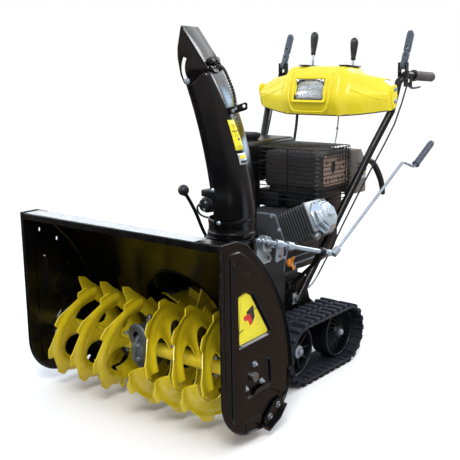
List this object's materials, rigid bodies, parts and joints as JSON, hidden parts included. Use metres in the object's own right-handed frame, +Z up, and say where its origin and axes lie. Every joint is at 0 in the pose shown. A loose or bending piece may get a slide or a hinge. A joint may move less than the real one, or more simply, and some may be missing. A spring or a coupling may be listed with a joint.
{
  "type": "two stage snowblower",
  "caption": "Tracked two stage snowblower with serrated augers in a wide housing, impeller, tall turning chute, slanted engine, moulded dash and handlebars.",
  "frame": {"origin": "middle of the machine's outline on the ground it stands on", "axes": "+X across the machine, +Y from the intake towards the operator, +Z up"},
  "size_m": [0.8108, 1.4318, 1.1102],
  "materials": {
    "black_paint": "gloss paint over pressed steel",
    "yellow_paint": "gloss paint",
    "yellow_plastic": "moulded, satin",
    "black_plastic": "moulded, fine grain",
    "blue_grey_plastic": "moulded, ribbed",
    "zinc": "zinc plated",
    "chrome": "polished",
    "casting": "sand cast and painted",
    "dark_casting": "cast and painted dark",
    "rubber": "moulded rubber",
    "wheel_plastic": "moulded",
    "lamp": "clear lens over a reflector",
    "orange_plastic": "moulded",
    "cable_sheath": "extruded"
  },
  "bodies": {
    "root": {"housing": "black_paint", "impeller_drum": "black_paint", "scraper_bar": "black_paint", "skid_shoes": "black_paint", "auger_bearings": "zinc", "gearbox_case": "casting", "worm_bracket": "zinc", "crank_bracket": "black_paint", "belt_cover": "black_plastic", "auger_belt": "rubber", "drive_belt": "rubber", "tractor_frame": "black_paint", "transmission": "casting", "crankcase": "dark_casting", "engine_cylinder": "dark_casting", "rocker_cover": "chrome", "blower_housing": "black_plastic", "recoil_cover": "black_plastic", "starter_motor": "dark_casting", "fuel_tank": "black_paint", "muffler": "dark_casting", "muffler_guard": "black_paint", "carburettor_box": "black_plastic", "handlebar": "black_paint", "dash": "yellow_plastic", "headlight": "lamp", "grips": "blue_grey_plastic", "lever_brackets": "black_paint", "cables": "cable_sheath"},
    "auger": {"auger_shaft": "zinc", "auger_hubs": "yellow_paint", "auger_blades_left": "yellow_paint", "auger_blades_right": "yellow_paint", "shear_bolts": "zinc"},
    "impeller": {"impeller": "yellow_paint", "impeller_shaft": "zinc"},
    "engine_shaft": {"engine_pulley": "zinc"},
    "drive_input": {"drive_pulley": "zinc"},
    "auger_idler_arm": {"auger_idler": "zinc"},
    "drive_idler_arm": {"drive_idler": "zinc"},
    "tracks": {"track_frames": "black_paint", "track_left": "rubber", "track_right": "rubber"},
    "front_wheel_set": {"front_wheels": "wheel_plastic"},
    "drive_axle": {"drive_axle": "wheel_plastic"},
    "height_lever": {"height_lever": "black_paint"},
    "chute": {"chute": "black_paint"},
    "deflector": {"deflector": "black_paint"},
    "worm_shaft": {"worm_shaft": "zinc"},
    "crank_rod": {"crank_rod": "zinc"},
    "crank_grip": {"crank_grip": "blue_grey_plastic"},
    "recoil_grip": {"recoil_grip": "black_plastic"},
    "fuel_cap": {"fuel_cap": "black_plastic"},
    "oil_cap": {"oil_cap": "orange_plastic"},
    "speed_lever": {"speed_lever": "black_plastic"},
    "deflector_lever": {"deflector_lever": "black_plastic"},
    "clutch_lever_left": {"clutch_lever_left": "blue_grey_plastic"},
    "clutch_lever_right": {"clutch_lever_right": "blue_grey_plastic"},
    "steering_trigger_left": {"steering_trigger_left": "black_plastic"},
    "steering_trigger_right": {"steering_trigger_right": "black_plastic"}
  },
  "joints": [
    {"name": "auger_spin", "type": "hinge", "parent": "root", "child": "auger", "pos_m": [0, -0.557, 0.187], "axis": [1, 0, 0], "continuous": true},
    {"name": "impeller_spin", "type": "hinge", "parent": "root", "child": "impeller", "pos_m": [0, -0.295, 0.235], "axis": [0, 1, 0], "continuous": true},
    {"name": "engine_spin", "type": "hinge", "parent": "root", "child": "engine_shaft", "pos_m": [0, 0.005, 0.405], "axis": [0, 1, 0], "continuous": true},
    {"name": "drive_input_spin", "type": "hinge", "parent": "root", "child": "drive_input", "pos_m": [-0.078, -0.095, 0.25], "axis": [0, 1, 0], "continuous": true},
    {"name": "auger_idler_swing", "type": "hinge", "parent": "root", "child": "auger_idler_arm", "pos_m": [0.132, -0.173, 0.262], "axis": [0, 1, 0], "range_deg": [-5.6, 0]},
    {"name": "drive_idler_swing", "type": "hinge", "parent": "root", "child": "drive_idler_arm", "pos_m": [-0.15, -0.139, 0.268], "axis": [0, 1, 0], "range_deg": [0, 5.6]},
    {"name": "track_tilt", "type": "hinge", "parent": "root", "child": "tracks", "pos_m": [0, 0.095, 0.104], "axis": [1, 0, 0], "range_deg": [-4, 2.5]},
    {"name": "front_wheel_spin", "type": "hinge", "parent": "tracks", "child": "front_wheel_set", "pos_m": [0, -0.148, 0.104], "axis": [1, 0, 0], "continuous": true},
    {"name": "axle_spin", "type": "hinge", "parent": "root", "child": "drive_axle", "pos_m": [0, 0.095, 0.104], "axis": [1, 0, 0], "continuous": true},
    {"name": "height_lever_swing", "type": "hinge", "parent": "root", "child": "height_lever", "pos_m": [-0.156, -0.049, 0.33], "axis": [1, 0, 0], "range_deg": [-12, 7.5]},
    {"name": "chute_turn", "type": "hinge", "parent": "root", "child": "chute", "pos_m": [0.1, -0.287, 0.484], "axis": [0, 0, 1], "range_deg": [-28, 162]},
    {"name": "deflector_tilt", "type": "hinge", "parent": "chute", "child": "deflector", "pos_m": [0.05398, -0.30654, 0.988], "axis": [0.3907, -0.9205, 0], "range_deg": [0, 55]},
    {"name": "worm_spin", "type": "hinge", "parent": "root", "child": "worm_shaft", "pos_m": [0.199, -0.3, 0.487], "axis": [0.3579, 0.8948, -0.2668], "range_deg": [-560, 3240]},
    {"name": "crank_spin", "type": "hinge", "parent": "root", "child": "crank_rod", "pos_m": [0.305, -0.035, 0.408], "axis": [0.0764, 0.83, 0.5526], "range_deg": [-560, 3240]},
    {"name": "crank_grip_spin", "type": "hinge", "parent": "crank_rod", "child": "crank_grip", "pos_m": [0.352, 0.405, 0.638], "axis": [0.0764, 0.83, 0.5526], "continuous": true},
    {"name": "recoil_pull", "type": "slide", "parent": "root", "child": "recoil_grip", "axis": [0, 0.9397, 0.3419], "range_m": [0, 0.45], "stiffness_N_per_m": 12, "springref_m": -0.25},
    {"name": "fuel_cap_turn", "type": "hinge", "parent": "root", "child": "fuel_cap", "pos_m": [-0.127, 0.104, 0.745], "axis": [0, 0, 1], "range_deg": [0, 90]},
    {"name": "oil_cap_turn", "type": "hinge", "parent": "root", "child": "oil_cap", "pos_m": [0.12, -0.028, 0.352], "axis": [1, 0, 0], "range_deg": [0, 360]},
    {"name": "speed_select", "type": "hinge", "parent": "root", "child": "speed_lever", "pos_m": [-0.06, 0.389, 0.94], "axis": [1, 0, 0], "range_deg": [-16, 24]},
    {"name": "deflector_select", "type": "hinge", "parent": "root", "child": "deflector_lever", "pos_m": [0.1, 0.403, 0.94], "axis": [1, 0, 0], "range_deg": [0, 27.5]},
    {"name": "clutch_left", "type": "hinge", "parent": "root", "child": "clutch_lever_left", "pos_m": [-0.258, 0.489, 0.982], "axis": [1, 0, 0], "range_deg": [-60, 0], "stiffness_Nm_per_rad": 2, "springref_deg": 8.59},
    {"name": "clutch_right", "type": "hinge", "parent": "root", "child": "clutch_lever_right", "pos_m": [0.258, 0.489, 0.982], "axis": [1, 0, 0], "range_deg": [-60, 0], "stiffness_Nm_per_rad": 2, "springref_deg": 8.59},
    {"name": "steering_left", "type": "hinge", "parent": "root", "child": "steering_trigger_left", "pos_m": [-0.258, 0.527, 0.914], "axis": [1, 0, 0], "range_deg": [0, 8], "stiffness_Nm_per_rad": 3, "springref_deg": -5.73},
    {"name": "steering_right", "type": "hinge", "parent": "root", "child": "steering_trigger_right", "pos_m": [0.258, 0.527, 0.914], "axis": [1, 0, 0], "range_deg": [0, 8], "stiffness_Nm_per_rad": 3, "springref_deg": -5.73}
  ],
  "couplings": [
    {"joint": "impeller_spin", "follows": "auger_spin", "ratio": 10},
    {"joint": "auger_idler_swing", "follows": "clutch_right", "ratio": 0.09},
    {"joint": "drive_idler_swing", "follows": "clutch_left", "ratio": -0.09},
    {"joint": "front_wheel_spin", "follows": "axle_spin", "ratio": 1},
    {"joint": "drive_input_spin", "follows": "axle_spin", "ratio": 12},
    {"joint": "height_lever_swing", "follows": "track_tilt", "ratio": 3},
    {"joint": "worm_spin", "follows": "chute_turn", "ratio": 20},
    {"joint": "crank_spin", "follows": "chute_turn", "ratio": 20},
    {"joint": "deflector_select", "follows": "deflector_tilt", "ratio": 0.5}
  ]
}
